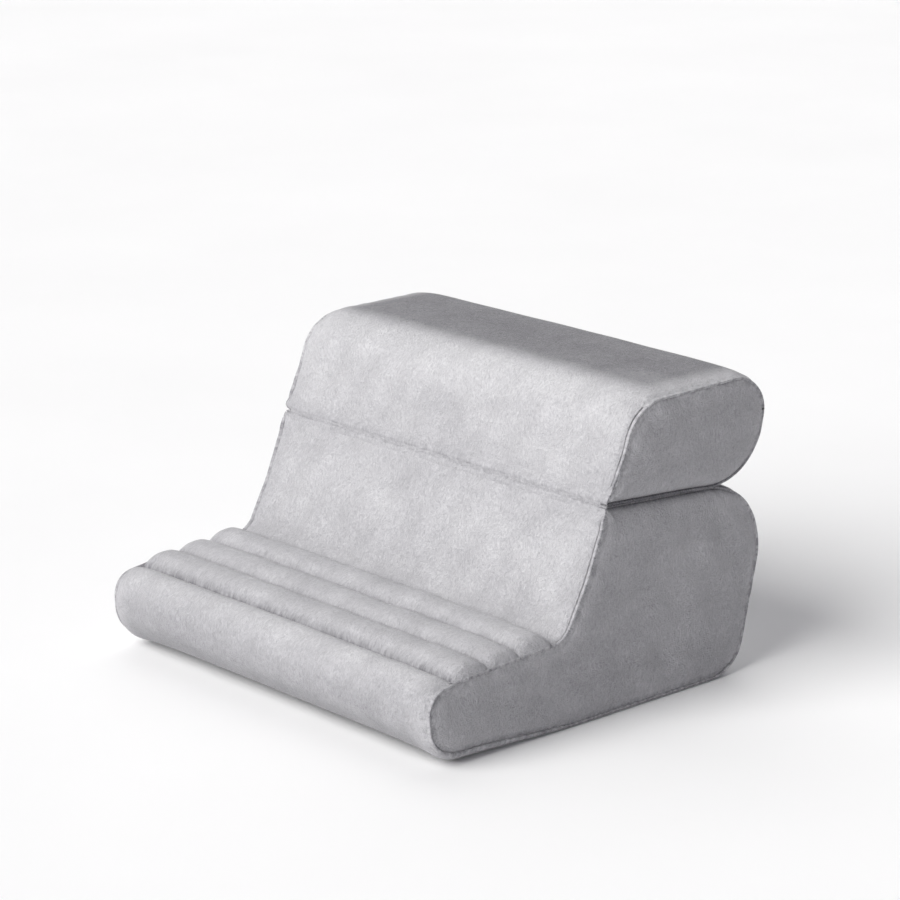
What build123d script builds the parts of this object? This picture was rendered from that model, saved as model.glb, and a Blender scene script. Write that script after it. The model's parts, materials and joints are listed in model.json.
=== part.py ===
"""Folding pillow stand for a tablet: two fabric-covered foam blocks, joined by a sewn hinge along
the front.  The lower block has a rounded front lip, three sewn rolls with grooves between them that
hold the tablet's edge, and a sloped backrest.  The upper block carries the backrest on upwards, and
folds forward about the hinge to lie on the slope and the rolls.  Each cover closes with a zip.

Frame: +X to the user's right, +Y away from the user, +Z up.  The origin is the middle of the
footprint, on the surface the stand rests on.
"""
from build123d import *
import math
import os

os.makedirs("parts", exist_ok=True)

# Driving dimensions, in millimetres and degrees
SEAM_WIDTH = 282.0          # across the wrap panels, between the two side seams
COVER = 2.0                 # thickness of the pile fabric with its wadding
FRONT_Y = -131.2            # foremost point of the lip
BACK_Y = 131.2              # rearmost point of the upper block
TOP_Z = 181.0               # flat top of the upper block
GRIP_HEIGHT = 1.0           # silicone grip sheet under the base, film and dots together
GRIP_FILM = 0.4             # the film that the dots stand on
SIDE_SEAM_Z = 8.0           # height of the seam between side panel and base panel

HINGE_Y = 3.6
HINGE_Z = 124.2
LOWER_CORNER = (4.0, 123.6)     # top front corner of the lower block
UPPER_CORNER = (4.2, 124.4)     # bottom front corner of the upper block
SLOPE_ANGLE = 66.5              # backrest of the lower block, from horizontal
FRONT_ANGLE = 69.5              # front of the upper block, from horizontal
SPLIT_FALL = 0.068              # fall of the plane between the blocks, per unit of depth

LEDGE_FRONT_Z = 47.9        # ledge at its first groove
LEDGE_RISE = 0.057          # rise of the ledge, per unit of depth
FIRST_GROOVE_Y = -108.8
ROLL_PITCH = 24.0
ROLL_COUNT = 3
ROLL_CRESTS = (6.8, 7.2, 8.4)   # crest of each sewn roll above the ledge, front to back
BUMP_WIDTH = 23.4           # cover over one roll, at the ledge
ROLL_WIDTH = 20.6           # filling of one roll, at its flat underside

LIP_TOP_RADIUS = 15.0
LIP_UNDER_RADIUS = 27.0
FOOT_RADIUS = 14.0          # hollow curve where the slope meets the ledge
BASE_BACK_RADIUS = 26.0
LOWER_BACK_RADIUS = 43.0
UPPER_BACK_RADIUS = 41.0
UPPER_TOP_BACK_RADIUS = 24.0
UPPER_TOP_FRONT_RADIUS = 30.0
LOWER_CORNER_RADIUS = 1.5
UPPER_CORNER_RADIUS = 3.0
BASE_END_RADIUS = 8.0       # rounding of the base where it turns up to the side seam

HINGE_BEAD_RADIUS = 1.1
LIP_SEAM_Y = -104.0         # seam between lip panel and base panel, on the floor line
BASE_SEAM_Y = 91.0          # seam between base panel and back panel
TOP_SEAM_Y = 88.0           # seam between lower top panel and lower back panel

ZIP_HALF_SLOT = 3.5         # half the open width between the cover's edges
ZIP_TAPE_INNER = 0.75       # gap from the zip's centre line to each tape
ZIP_TAPE_OUTER = 6.5
ZIP_TAPE_THICKNESS = 0.6
ZIP_TRAVEL = 200.0
ZIP_TAPE_OVERRUN = 13.0     # each tape past either end of the slider's travel
LOWER_ZIP_Z = 40.0
UPPER_ZIP_ANGLE = 30.0      # how far the upper zip faces below the horizontal

TOOTH_PITCH = 3.0
TOOTH_SIZE = (1.7, 1.9)     # along the zip, across it
TOOTH_OFFSET = 1.65         # from the zip's centre line to the middle of a row
TOOTH_HEIGHT = 1.2
TEETH_OVERRUN = 4.5         # the teeth past either end of the travel
STOP_SIZE = (3.6, 2.2)
STOP_SPACING = 3.7          # between the stops on the two tapes
STOP_HEIGHT = 1.3
STOP_OVERRUN = 9.0          # the stops past either end of the travel

SLIDER_PLATE = (9.4, 8.4, 2.2)      # length, width and corner radius
SLIDER_PLATE_LIFT = 0.3             # its underside above the cover's outer face
SLIDER_PLATE_HEIGHT = 1.2
SLIDER_POST = (3.4, 0.7)            # joins the plates through the gap between the teeth
SLIDER_POST_LOW = -2.6
SLIDER_POST_HEIGHT = 3.0
SLIDER_BACK = (8.6, 7.6, 2.0)
SLIDER_BACK_LOW = -3.7
SLIDER_BACK_HEIGHT = 1.1
BRIDGE_SIZE = (7.8, 4.0, 1.1)       # arch that holds the pull: length, height, corner radius
BRIDGE_MIDDLE = 3.3
BRIDGE_HOLE = (5.2, 2.7)
BRIDGE_HOLE_MIDDLE = 2.7
BRIDGE_HALF_WIDTH = 0.8
SLIDER_RUN_WIDTH = 9.2              # slot in the foam that the back plate runs in
SLIDER_RUN_DEPTH = 2.4

PULL_SIZE = (20.6, 5.8)
PULL_MIDDLE = 9.6                   # from the slider's middle to the pull's
PULL_LIFT = 2.2
PULL_THICKNESS = 1.1
PULL_EYE = (4.2, 3.2)
PULL_EYE_MIDDLE = 2.75
PULL_SLOT = (5.6, 2.0)
PULL_SLOT_MIDDLE = 14.6

BACK_LEAN = 0.2386          # outward lean of the lower back, per unit of height
BACK_FOOT_Y = 112.5         # the lower back's line, carried down to the floor
ROLL_END_GAP = 3.0          # from a roll's filling to the side seam
COVER_END_GAP = 1.0         # from a roll's cover, and from the hinge bead, to the side seam
GRIP_MARGIN = (11.0, 2.0)   # grip sheet in from the side seams, and from the base's other seams
GRIP_CORNER_RADIUS = 6.0
GRIP_DOT_RADIUS = 3.0
GRIP_DOT_PITCH = 22.0
GRIP_DOT_COUNT = (12, 9)

BEYOND = 200.0              # further than any face of the stand, for the cutting regions

# Values worked out from the driving dimensions
half_seam = SEAM_WIDTH / 2
half_outer = half_seam + COVER
floor_z = GRIP_HEIGHT
slope_run = 1 / math.tan(math.radians(SLOPE_ANGLE))
front_run = 1 / math.tan(math.radians(FRONT_ANGLE))
last_groove_y = FIRST_GROOVE_Y + ROLL_PITCH * ROLL_COUNT
zip_half = ZIP_TRAVEL / 2


def ledge_z(y):
    return LEDGE_FRONT_Z + LEDGE_RISE * (y - FIRST_GROOVE_Y)


def split_z(corner, y):
    return corner[1] - SPLIT_FALL * (y - corner[0])


def slope_foot():
    """Where the line of the slope meets the line of the ledge."""
    drop = LOWER_CORNER[1] - ledge_z(LOWER_CORNER[0])
    run = drop / (1 / slope_run - LEDGE_RISE)
    return (LOWER_CORNER[0] - run, ledge_z(LOWER_CORNER[0] - run))


def lower_back_corner():
    """Where the line of the lower back meets the plane between the blocks."""
    top_at_foot = split_z(LOWER_CORNER, BACK_FOOT_Y)
    rise = (top_at_foot - floor_z) / (1 + SPLIT_FALL * BACK_LEAN)
    return (BACK_FOOT_Y + BACK_LEAN * rise, floor_z + rise)


LOWER_OUTLINE = [
    (FRONT_Y, floor_z),
    (BACK_FOOT_Y, floor_z),
    lower_back_corner(),
    LOWER_CORNER,
    slope_foot(),
    (FRONT_Y, ledge_z(FRONT_Y)),
]
LOWER_RADII = [
    LIP_UNDER_RADIUS, BASE_BACK_RADIUS, LOWER_BACK_RADIUS,
    LOWER_CORNER_RADIUS, FOOT_RADIUS, LIP_TOP_RADIUS,
]
UPPER_OUTLINE = [
    UPPER_CORNER,
    (BACK_Y, split_z(UPPER_CORNER, BACK_Y)),
    (BACK_Y, TOP_Z),
    (UPPER_CORNER[0] + (TOP_Z - UPPER_CORNER[1]) * front_run, TOP_Z),
]
UPPER_RADII = [
    UPPER_CORNER_RADIUS, UPPER_BACK_RADIUS, UPPER_TOP_BACK_RADIUS, UPPER_TOP_FRONT_RADIUS,
]


def finish(part, label):
    """Name one piece and write it."""
    part.part.label = label
    export_step(part.part, f"parts/{label}.step")


def block(corners, radii, inset, half_width, base_round):
    """A solid with the blocks' rounded section, shrunk by inset; the base's ends may be rounded."""
    with BuildPart() as solid:
        with BuildSketch(Plane.YZ):
            with BuildLine():
                FilletPolyline(*corners, radius=radii, close=True)
            make_face()
            if inset > 0:
                offset(amount=-inset, mode=Mode.REPLACE)
        extrude(amount=half_width, both=True)
        if base_round > 0:
            with BuildSketch(Plane.XZ) as front_view:
                with Locations((0, floor_z + inset + BEYOND / 2)):
                    Rectangle(2 * half_width, BEYOND)
                fillet(front_view.vertices().group_by(Axis.Y)[0], base_round)
            extrude(amount=BEYOND, both=True, mode=Mode.INTERSECT)
    return solid


def panel(shell, region, half_width):
    """The stretch of a cover shell that lies inside one region of the YZ section."""
    with BuildPart() as piece:
        add(shell.part)
        with BuildSketch(Plane.YZ):
            with BuildLine():
                Polyline(*region, close=True)
            make_face()
        extrude(amount=half_width, both=True, mode=Mode.INTERSECT)
    return piece


def side_panel(shell, lowest, side):
    """One flat side of a cover, above its bottom seam; side is -1 left or 1 right."""
    with BuildPart() as piece:
        add(shell.part)
        with BuildSketch(Plane.YZ.offset(side * half_seam)):
            with Locations((0, lowest + BEYOND / 2)):
                Rectangle(2 * BEYOND, BEYOND)
        extrude(amount=side * BEYOND, mode=Mode.INTERSECT)
    return piece


def cover_shell(corners, radii, core, base_round):
    """The whole cover of one block, before it is cut into its sewn panels."""
    envelope = block(corners, radii, 0, half_outer, base_round)
    with BuildPart() as shell:
        add(envelope.part)
        add(core.part, mode=Mode.SUBTRACT)
    return shell


# ---------------------------------------------------------------- zips


def zip_plane(centre, facing):
    """The plane of a zip: X along its travel, Z outward, facing degrees below the horizontal."""
    tilt = math.radians(facing)
    return Plane(origin=(0, *centre), x_dir=(1, 0, 0), z_dir=(0, math.cos(tilt), -math.sin(tilt)))


def zip_tape(plane, side):
    """One woven tape under the cover's edge; side is -1 above the chain or 1 below it."""
    width = ZIP_TAPE_OUTER - ZIP_TAPE_INNER
    with BuildPart() as tape:
        with BuildSketch(plane.offset(-COVER)):
            with Locations((0, side * (ZIP_TAPE_INNER + width / 2))):
                Rectangle(ZIP_TRAVEL + 2 * ZIP_TAPE_OVERRUN, width)
        extrude(amount=ZIP_TAPE_THICKNESS)
    return tape


def zip_teeth(plane):
    """Two rows of moulded teeth, half a pitch apart, with a slot for the slider's post between."""
    count = round((ZIP_TRAVEL + 2 * TEETH_OVERRUN) / TOOTH_PITCH)
    with BuildPart() as teeth:
        for side in (-1, 1):
            with BuildSketch(plane.offset(ZIP_TAPE_THICKNESS - COVER)):
                with Locations((side * TOOTH_PITCH / 4, side * TOOTH_OFFSET)):
                    with GridLocations(TOOTH_PITCH, 1, count, 1):
                        Rectangle(*TOOTH_SIZE)
            extrude(amount=TOOTH_HEIGHT)
    return teeth


def zip_stops(plane):
    """Clamped stops past both ends of the teeth, on both tapes."""
    with BuildPart() as stops:
        with BuildSketch(plane.offset(ZIP_TAPE_THICKNESS - COVER)):
            with GridLocations(ZIP_TRAVEL + 2 * STOP_OVERRUN, STOP_SPACING, 2, 2):
                Rectangle(*STOP_SIZE)
        extrude(amount=STOP_HEIGHT)
    return stops


def zip_slider(plane, x):
    """Slider at x: top plate, post between the tapes, back plate, and the pull's bridge."""
    with BuildPart() as slider:
        with BuildSketch(plane.offset(SLIDER_PLATE_LIFT)):
            with Locations((x, 0)):
                RectangleRounded(*SLIDER_PLATE)
        extrude(amount=SLIDER_PLATE_HEIGHT)
        with BuildSketch(plane.offset(SLIDER_POST_LOW)):
            with Locations((x, 0)):
                Rectangle(*SLIDER_POST)
        extrude(amount=SLIDER_POST_HEIGHT)
        with BuildSketch(plane.offset(SLIDER_BACK_LOW)):
            with Locations((x, 0)):
                RectangleRounded(*SLIDER_BACK)
        extrude(amount=SLIDER_BACK_HEIGHT)
        bridge = Plane(origin=plane.from_local_coords((x, 0, 0)), x_dir=(1, 0, 0), z_dir=-plane.y_dir)
        with BuildSketch(bridge):
            with Locations((0, BRIDGE_MIDDLE)):
                RectangleRounded(*BRIDGE_SIZE)
            with Locations((0, BRIDGE_HOLE_MIDDLE)):
                Rectangle(*BRIDGE_HOLE, mode=Mode.SUBTRACT)
        extrude(amount=BRIDGE_HALF_WIDTH, both=True)
    return slider


def zip_pull(plane, x):
    """Pull tab lying along the chain, its eye round the bridge; it flips about the eye's bar."""
    with BuildPart() as pull:
        with BuildSketch(plane.offset(PULL_LIFT)):
            with Locations((x - PULL_MIDDLE, 0)):
                SlotOverall(*PULL_SIZE)
            with Locations((x - PULL_EYE_MIDDLE, 0)):
                Rectangle(*PULL_EYE, mode=Mode.SUBTRACT)
            with Locations((x - PULL_SLOT_MIDDLE, 0)):
                SlotOverall(*PULL_SLOT, mode=Mode.SUBTRACT)
        extrude(amount=PULL_THICKNESS)
    return pull


def zip_set(name, plane):
    """Every piece of one zip, closed, with its slider at the right-hand end."""
    pieces = {
        f"{name}_zip_tape_top": zip_tape(plane, -1),
        f"{name}_zip_tape_bottom": zip_tape(plane, 1),
        f"{name}_zip_teeth": zip_teeth(plane),
        f"{name}_zip_stops": zip_stops(plane),
        f"{name}_zip_slider": zip_slider(plane, zip_half),
        f"{name}_zip_pull": zip_pull(plane, zip_half),
    }
    for label, piece in pieces.items():
        finish(piece, label)
    return pieces


def zip_recess(target, plane):
    """The slot in the foam, behind a zip, that the slider's back plate runs in."""
    with BuildPart() as core:
        add(target.part)
        with BuildSketch(plane.offset(-COVER)):
            Rectangle(ZIP_TRAVEL + 2 * ZIP_TAPE_OVERRUN, SLIDER_RUN_WIDTH)
        extrude(amount=-SLIDER_RUN_DEPTH, mode=Mode.SUBTRACT)
    return core


def zip_opening(target, plane, tapes):
    """A cover panel with the open slot, and a rebate where the tapes are sewn under it."""
    with BuildPart() as piece:
        add(target.part)
        with BuildSketch(plane):
            Rectangle(ZIP_TRAVEL + 2 * ZIP_TAPE_OVERRUN, 2 * ZIP_HALF_SLOT)
        extrude(amount=2 * COVER, both=True, mode=Mode.SUBTRACT)
        for tape in tapes:
            add(tape.part, mode=Mode.SUBTRACT)
    return piece


lower_zip_centre = (BACK_FOOT_Y + BACK_LEAN * (LOWER_ZIP_Z - floor_z), LOWER_ZIP_Z)
lower_zip_plane = zip_plane(lower_zip_centre, math.degrees(math.atan(BACK_LEAN)))
lower_zip = zip_set("lower", lower_zip_plane)

fall_turn = math.radians(90) + math.atan(SPLIT_FALL)
upper_arc_centre_y = BACK_Y - UPPER_BACK_RADIUS
upper_arc_centre_z = UPPER_OUTLINE[1][1] + UPPER_BACK_RADIUS * math.tan(fall_turn / 2)
upper_facing = math.radians(UPPER_ZIP_ANGLE)
upper_zip_centre = (
    upper_arc_centre_y + UPPER_BACK_RADIUS * math.cos(upper_facing),
    upper_arc_centre_z - UPPER_BACK_RADIUS * math.sin(upper_facing),
)
upper_zip_plane = zip_plane(upper_zip_centre, UPPER_ZIP_ANGLE)
upper_zip = zip_set("upper", upper_zip_plane)


# ---------------------------------------------------------------- lower block

lower_solid = block(LOWER_OUTLINE, LOWER_RADII, COVER, half_seam, BASE_END_RADIUS - COVER)
lower_core = zip_recess(lower_solid, lower_zip_plane)
finish(lower_core, "lower_foam_core")


def bump(centre_y, drop, width, crest):
    """Round-topped segment that stands on the ledge line, lowered by drop."""
    left = (centre_y - width / 2, ledge_z(centre_y - width / 2) - drop)
    top = (centre_y, ledge_z(centre_y) - drop + crest)
    right = (centre_y + width / 2, ledge_z(centre_y + width / 2) - drop)
    with BuildLine() as outline:
        ThreePointArc(left, top, right)
        Line(right, left)
    return outline


roll_names = ("front", "middle", "rear")
rolls = []
for index, (position, crest) in enumerate(zip(roll_names, ROLL_CRESTS)):
    roll_y = FIRST_GROOVE_Y + ROLL_PITCH * (index + 0.5)
    with BuildPart() as roll:
        with BuildSketch(Plane.YZ):
            add(bump(roll_y, COVER, ROLL_WIDTH, crest).line)
            make_face()
        extrude(amount=half_seam - ROLL_END_GAP, both=True)
    finish(roll, f"{position}_roll_filling")
    rolls.append(roll)

with BuildPart() as channel_panel:
    with BuildSketch(Plane.YZ):
        with BuildLine():
            Polyline(
                (FIRST_GROOVE_Y, ledge_z(FIRST_GROOVE_Y)),
                (last_groove_y, ledge_z(last_groove_y)),
                (last_groove_y, ledge_z(last_groove_y) - COVER),
                (FIRST_GROOVE_Y, ledge_z(FIRST_GROOVE_Y) - COVER),
                close=True,
            )
        make_face()
    extrude(amount=half_seam, both=True)
    for index, crest in enumerate(ROLL_CRESTS):
        with BuildSketch(Plane.YZ):
            add(bump(FIRST_GROOVE_Y + ROLL_PITCH * (index + 0.5), 0, BUMP_WIDTH, crest).line)
            make_face()
        extrude(amount=half_seam - COVER_END_GAP, both=True)
    for roll in rolls:
        add(roll.part, mode=Mode.SUBTRACT)
    add(lower_core.part, mode=Mode.SUBTRACT)
finish(channel_panel, "channel_panel")

lower_shell = cover_shell(LOWER_OUTLINE, LOWER_RADII, lower_solid, BASE_END_RADIUS)

with BuildPart() as hinge_bead:
    with BuildSketch(Plane.YZ):
        with Locations((HINGE_Y, HINGE_Z)):
            Circle(HINGE_BEAD_RADIUS)
    extrude(amount=half_seam - COVER_END_GAP, both=True)
finish(hinge_bead, "hinge_seam_bead")

# The corner's mitre runs halfway between the slope and the top
mitre = math.radians(90 + (SLOPE_ANGLE - math.degrees(math.atan(SPLIT_FALL))) / 2)
MITRE_REACH = 15.0
mitre_out = (LOWER_CORNER[0] + MITRE_REACH * math.cos(mitre), LOWER_CORNER[1] + MITRE_REACH * math.sin(mitre))
mitre_in = (LOWER_CORNER[0] - MITRE_REACH * math.cos(mitre), LOWER_CORNER[1] - MITRE_REACH * math.sin(mitre))

# Cutting regions in the (y, z) plane. Each pair of corners lies inside and outside the cover at a seam.
LIP_INSIDE_Z = 20.0
GROOVE_INSIDE_Z = 30.0
SLOPE_INSIDE_Z = 20.0
TOP_INSIDE_Z = 90.0
BACK_INSIDE_Y = 80.0

lip_region = [
    (LIP_SEAM_Y, -BEYOND), (LIP_SEAM_Y, LIP_INSIDE_Z), (FIRST_GROOVE_Y, GROOVE_INSIDE_Z),
    (FIRST_GROOVE_Y, BEYOND), (-BEYOND, BEYOND), (-BEYOND, -BEYOND),
]
slope_region = [
    (last_groove_y, SLOPE_INSIDE_Z), (last_groove_y, LOWER_CORNER[1]), mitre_out, mitre_in,
]
top_region = [mitre_in, mitre_out, (TOP_SEAM_Y, BEYOND), (TOP_SEAM_Y, TOP_INSIDE_Z)]
back_top_region = [
    (TOP_SEAM_Y, TOP_INSIDE_Z), (TOP_SEAM_Y, BEYOND), (BEYOND, BEYOND),
    (BEYOND, LOWER_ZIP_Z), (BACK_INSIDE_Y, LOWER_ZIP_Z),
]
back_foot_region = [
    (BACK_INSIDE_Y, LOWER_ZIP_Z), (BEYOND, LOWER_ZIP_Z), (BEYOND, -BEYOND),
    (BASE_SEAM_Y, -BEYOND), (BASE_SEAM_Y, LIP_INSIDE_Z),
]

finish(panel(lower_shell, lip_region, half_seam), "front_lip_panel")

for region, label in ((slope_region, "slope_panel"), (top_region, "lower_top_panel")):
    strip = panel(lower_shell, region, half_seam)
    with BuildPart() as strip_by_hinge:
        add(strip.part)
        add(hinge_bead.part, mode=Mode.SUBTRACT)
    finish(strip_by_hinge, label)

lower_tapes = [lower_zip["lower_zip_tape_top"], lower_zip["lower_zip_tape_bottom"]]
lower_back_strips = ((back_top_region, "lower_back_panel"), (back_foot_region, "lower_back_foot_panel"))
for region, label in lower_back_strips:
    strip = panel(lower_shell, region, half_seam)
    finish(zip_opening(strip, lower_zip_plane, lower_tapes), label)

for side, name in ((-1, "left"), (1, "right")):
    finish(side_panel(lower_shell, SIDE_SEAM_Z, side), f"lower_side_panel_{name}")

with BuildPart() as base_panel:
    add(lower_shell.part)
    with BuildSketch():
        Rectangle(2 * BEYOND, 2 * BEYOND)
    extrude(amount=SIDE_SEAM_Z, mode=Mode.INTERSECT)
    for near, far in ((-BEYOND, LIP_SEAM_Y), (BASE_SEAM_Y, BEYOND)):
        with BuildSketch():
            with Locations((0, (near + far) / 2)):
                Rectangle(SEAM_WIDTH, far - near)
        extrude(amount=SIDE_SEAM_Z, mode=Mode.SUBTRACT)
finish(base_panel, "base_panel")

base_middle_y = (LIP_SEAM_Y + BASE_SEAM_Y) / 2
with BuildPart() as grip_sheet:
    with BuildSketch(Plane.XY.offset(GRIP_HEIGHT - GRIP_FILM)):
        with Locations((0, base_middle_y)):
            RectangleRounded(
                SEAM_WIDTH - 2 * GRIP_MARGIN[0],
                BASE_SEAM_Y - LIP_SEAM_Y - 2 * GRIP_MARGIN[1],
                GRIP_CORNER_RADIUS,
            )
    extrude(amount=GRIP_FILM)
    with BuildSketch():
        with Locations((0, base_middle_y)):
            with GridLocations(GRIP_DOT_PITCH, GRIP_DOT_PITCH, *GRIP_DOT_COUNT):
                Circle(GRIP_DOT_RADIUS)
    extrude(amount=GRIP_HEIGHT - GRIP_FILM)
finish(grip_sheet, "grip_sheet")


# ---------------------------------------------------------------- upper block

upper_solid = block(UPPER_OUTLINE, UPPER_RADII, COVER, half_seam, 0)
upper_core = zip_recess(upper_solid, upper_zip_plane)
finish(upper_core, "upper_foam_core")

upper_shell = cover_shell(UPPER_OUTLINE, UPPER_RADII, upper_solid, 0)

# One strip runs from the hinge over the front and the top, and down the back to the zip
FRONT_MITRE = (10.0, 6.0)           # along the corner's mitre, in y and z
BOTTOM_SEAM_GAP = 4.0               # bottom seam ahead of the back's rounding
BOTTOM_INSIDE_Z = 135.0
ZIP_CUT_REACH = 12.0                # either side of the outline at the zip
front_mitre_out = (UPPER_CORNER[0] - FRONT_MITRE[0], UPPER_CORNER[1] - FRONT_MITRE[1])
front_mitre_in = (UPPER_CORNER[0] + FRONT_MITRE[0], UPPER_CORNER[1] + FRONT_MITRE[1])
bottom_seam_y = BACK_Y - UPPER_BACK_RADIUS - BOTTOM_SEAM_GAP
zip_inside = upper_zip_plane.from_local_coords((0, 0, -ZIP_CUT_REACH))
zip_outside = upper_zip_plane.from_local_coords((0, 0, ZIP_CUT_REACH))

upper_wrap_region = [
    front_mitre_out, front_mitre_in, (zip_inside.Y, zip_inside.Z),
    (zip_outside.Y, zip_outside.Z), (BEYOND, BEYOND), (-BEYOND, BEYOND),
]
upper_back_foot_region = [
    (zip_inside.Y, zip_inside.Z), (zip_outside.Y, zip_outside.Z), (BEYOND, 0),
    (bottom_seam_y, 0), (bottom_seam_y, BOTTOM_INSIDE_Z),
]
upper_bottom_region = [
    front_mitre_out, front_mitre_in, (bottom_seam_y, BOTTOM_INSIDE_Z), (bottom_seam_y, 0),
]

finish(panel(upper_shell, upper_bottom_region, half_seam), "upper_bottom_panel")

upper_tapes = [upper_zip["upper_zip_tape_top"], upper_zip["upper_zip_tape_bottom"]]
upper_zip_strips = (
    (upper_wrap_region, "upper_wrap_panel"),
    (upper_back_foot_region, "upper_back_foot_panel"),
)
for region, label in upper_zip_strips:
    strip = panel(upper_shell, region, half_seam)
    finish(zip_opening(strip, upper_zip_plane, upper_tapes), label)

for side, name in ((-1, "left"), (1, "right")):
    finish(side_panel(upper_shell, 0, side), f"upper_side_panel_{name}")
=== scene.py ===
"""Looks of the folding pillow stand: every sewn panel of the two covers, the foam and fillings under
them, the fabric hinge, the zips and the grip sheet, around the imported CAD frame.

Shapes are worked out in millimetres, in the CAD's own frame, and written to meshes in metres.
"""
import json
import math
from dataclasses import dataclass

import bpy
import numpy as np
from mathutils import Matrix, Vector
from mathutils.geometry import delaunay_2d_cdt


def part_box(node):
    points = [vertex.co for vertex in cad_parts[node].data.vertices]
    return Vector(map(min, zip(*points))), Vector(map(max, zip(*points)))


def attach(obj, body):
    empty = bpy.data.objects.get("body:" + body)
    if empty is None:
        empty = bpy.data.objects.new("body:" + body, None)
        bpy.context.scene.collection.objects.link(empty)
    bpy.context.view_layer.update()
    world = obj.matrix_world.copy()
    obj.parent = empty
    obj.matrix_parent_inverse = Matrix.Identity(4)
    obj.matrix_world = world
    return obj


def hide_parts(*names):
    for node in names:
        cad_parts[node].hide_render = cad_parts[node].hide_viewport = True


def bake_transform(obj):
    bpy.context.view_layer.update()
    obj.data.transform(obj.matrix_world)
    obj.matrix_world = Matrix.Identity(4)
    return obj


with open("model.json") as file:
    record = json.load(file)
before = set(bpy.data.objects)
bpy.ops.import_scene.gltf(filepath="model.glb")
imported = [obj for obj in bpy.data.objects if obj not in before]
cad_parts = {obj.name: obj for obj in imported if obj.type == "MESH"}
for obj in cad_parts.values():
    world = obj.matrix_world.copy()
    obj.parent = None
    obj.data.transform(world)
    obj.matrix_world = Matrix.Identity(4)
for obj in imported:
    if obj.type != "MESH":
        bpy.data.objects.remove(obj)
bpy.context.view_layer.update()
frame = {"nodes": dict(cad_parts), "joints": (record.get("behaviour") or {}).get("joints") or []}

MM = 0.001


# ---- sizes taken from the frame

def box_mm(node):
    """(lowest, highest) corner of a CAD node, in millimetres."""
    low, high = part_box(node)
    return np.array(low) / MM, np.array(high) / MM


HINGE = np.array(next(j for j in frame["joints"] if j["name"] == "fold_hinge")["pos_m"][1:]) / MM
HALF = box_mm("lower_foam_core")[1][0]  # from the middle to a side seam
FRONT_Y = box_mm("front_lip_panel")[0][1]
BACK_Y = box_mm("upper_wrap_panel")[1][1]
TOP_Z = box_mm("upper_wrap_panel")[1][2]
FLOOR_Z = box_mm("base_panel")[0][2]
GROOVE_FRONT_Y = box_mm("channel_panel")[0][1]
GROOVE_REAR_Y = box_mm("channel_panel")[1][1]
TOP_SEAM_Y = box_mm("lower_top_panel")[1][1]
ZIP_HALF_X = box_mm("lower_zip_tape_top")[1][0]

# ---- sizes of the covers

SLOPE_RUN = 1 / math.tan(math.radians(66.5))  # backrest of the lower block
FACE_RUN = 1 / math.tan(math.radians(69.5))  # front of the upper block
VALLEY_TILT = math.radians(68)  # between the two slopes, for the strip in their seam
SPLIT_FALL = 0.068  # fall of the plane between the blocks
LEDGE_Z = 47.9  # ledge at its first groove
LEDGE_RISE = 0.057
BACK_LEAN = 0.2386
BACK_FOOT_Y = 112.5
LIP_SEAM_Y = -104.0  # seams of the base, on the floor line
BASE_SEAM_Y = 91.0
LOWER_ZIP_Z = 40.0
UPPER_ZIP_FACING = math.radians(30)
UPPER_BACK_RADIUS = 41.0
SIDE_SEAM_LIFT = 7.0  # the base's ends turn up this far to the side seam
ROLL_CRESTS = (6.2, 6.6, 7.8)  # height of each roll over the ledge, front to rear
SEWN_DEPTH = 2.6  # depth of a groove between two rolls
CLOTH_THICKNESS = 1.5
FIN_RISE = 1.1  # a pinched side seam: how far it stands up,
FIN_OUT = 0.8  # how far it stands out,
FIN_WIDTH = 0.7  # and how wide it is
TUCK_FULL = 1.6  # value of the tuck tables where the blocks meet
TUCK_DEPTH = 2.0  # how far a full tuck draws the seam in, per unit,
TUCK_REACH = 5.0  # and how far from the seam
TUCK_FALL = 0.55  # how far it opens the gap between the blocks, per unit,
TUCK_FALL_REACH = 4.0  # and how far from the seam
ZIP_SLOT = 3.5  # half the width of the slot over a zip's teeth
ZIP_SUNK = 2.2  # depth of the cloth's edge in that slot
ZIP_FLAT = (8.0, 19.0)  # beside a zip the cover is flat to here, full from there
ZIP_FLAT_DEPTH = 0.4
FOAM_INSET = 5.0
ACROSS_STEP = 2.4  # mesh steps across a panel, and over a side panel
SIDE_STEP = 4.0

# ---- looks of the covers and the studio

SIDE_SHADE = -0.085  # painted shade on the side panels, darker than the front
SEAM_REACH = 1.5  # how far the dark of a seam spreads
CREASE_SHADE = 0.24  # painted shade in the crease between the blocks
GROOVE_SHADE = 0.13  # and painted shade in the grooves between the rolls
SWIRL = 2.5  # wander of the pile's direction
FLOOR_GLOW = 0.03
WALL_GLOW = 0.72
FLOOR_REACH = 20000.0
WALL_HEIGHT = 2300.0
WALL_SIDES = 72
SUN_TINT = (1, 0.995, 0.975)
SKY_TINT = (0.84, 0.83, 1, 1)
CAMERA_PLACE = (1.3935, -1.2514, 0.6632)  # metres
CAMERA_TARGET = (-0.0342, 0.045, 0.1127)
CAMERA_LENS = 132.4


def ledge_z(y):
    """Height of the ledge, between its rolls."""
    return LEDGE_Z + LEDGE_RISE * (y - GROOVE_FRONT_Y)


def split_z(corner, y):
    """Height of the plane between the blocks, through a corner."""
    return corner[1] - SPLIT_FALL * (y - corner[0])


LOWER_CORNER = (HINGE[0] + 0.4, HINGE[1] - 0.6)
UPPER_CORNER = (HINGE[0] + 0.6, HINGE[1] + 0.2)


def slope_foot():
    """Where the line of the slope meets the line of the ledge."""
    run = (LOWER_CORNER[1] - ledge_z(LOWER_CORNER[0])) / (1 / SLOPE_RUN - LEDGE_RISE)
    return (LOWER_CORNER[0] - run, ledge_z(LOWER_CORNER[0] - run))


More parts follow.
